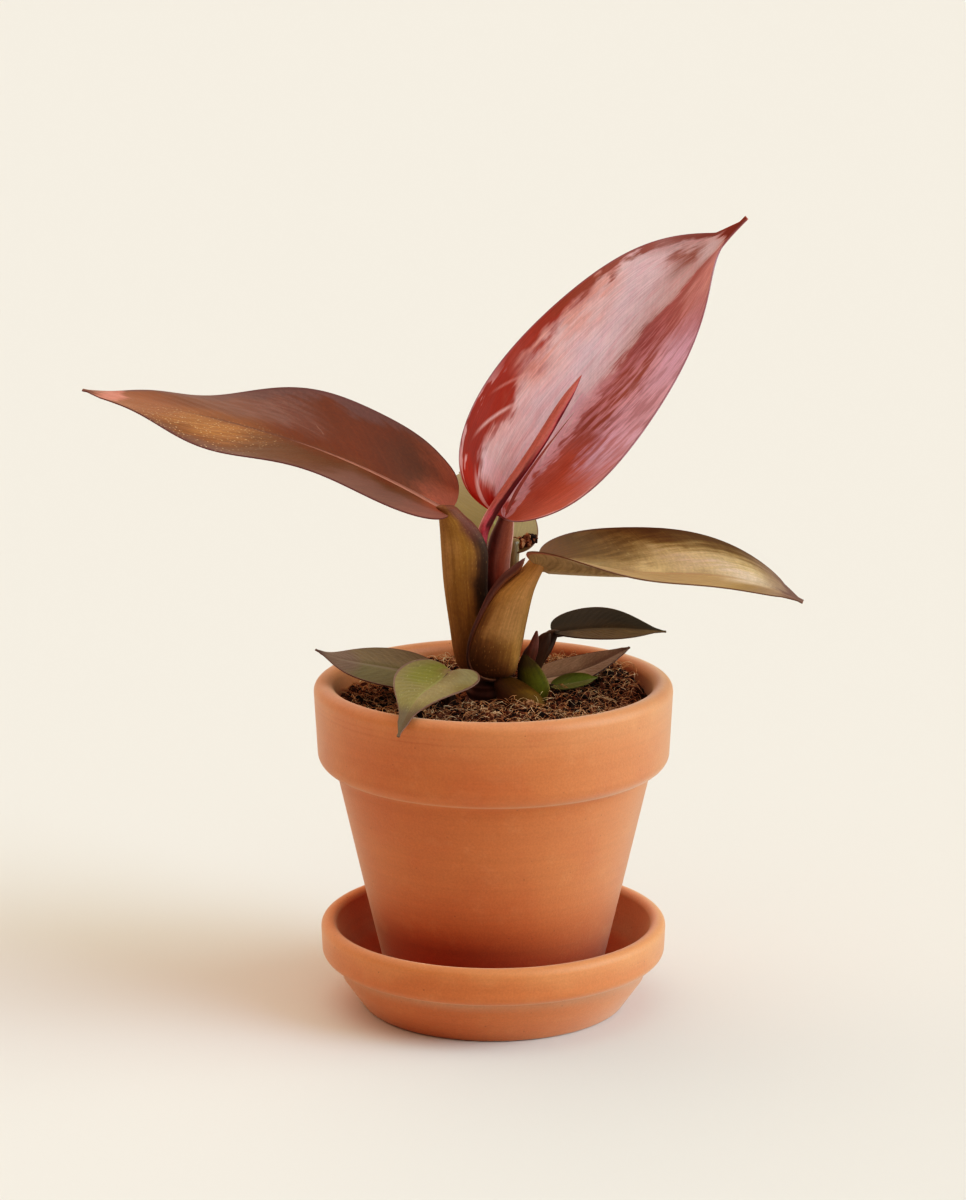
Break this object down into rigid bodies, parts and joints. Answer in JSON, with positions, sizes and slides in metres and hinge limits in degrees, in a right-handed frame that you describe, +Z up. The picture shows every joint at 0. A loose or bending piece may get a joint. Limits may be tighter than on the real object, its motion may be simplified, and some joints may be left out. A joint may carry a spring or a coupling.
{
  "type": "potted philodendron",
  "caption": "Young philodendron with bronze, olive and glossy red leaves on short sheathed stalks, in a terracotta pot that stands in a matching saucer.",
  "frame": {"origin": "centre of the saucer's flat underside, on the table", "axes": "+Z up, +X to the right and +Y away from the front, as the picture shows the plant"},
  "size_m": [0.225, 0.1413, 0.253],
  "materials": {
    "saucer_clay": "matte fired clay",
    "terracotta": "matte fired clay",
    "soil": "loose potting soil",
    "dark_stem": "satin plant skin",
    "olive_stalk": "satin plant skin",
    "red_stalk": "satin plant skin",
    "bronze_leaf": "satin leaf",
    "olive_leaf": "satin leaf",
    "red_leaf": "glossy new leaf",
    "green_leaf": "satin leaf",
    "grey_leaf": "satin leaf"
  },
  "bodies": {
    "root": {"saucer": "saucer_clay", "pot": "terracotta", "soil": "soil", "stem": "dark_stem", "left_stalk": "olive_stalk", "right_stalk": "olive_stalk", "new_stalk": "red_stalk", "back_stalk": "olive_stalk", "left_blade": "bronze_leaf", "right_blade": "olive_leaf", "new_blade": "red_leaf", "back_blade": "green_leaf", "rolled_leaf": "red_leaf", "brown_bract": "red_stalk", "green_bract": "green_leaf", "olive_bract": "olive_stalk", "upper_small_leaf": "grey_leaf", "lower_small_leaf": "grey_leaf", "dark_small_leaf": "grey_leaf", "heart_leaf": "green_leaf", "oval_small_leaf": "green_leaf"}
  },
  "joints": []
}
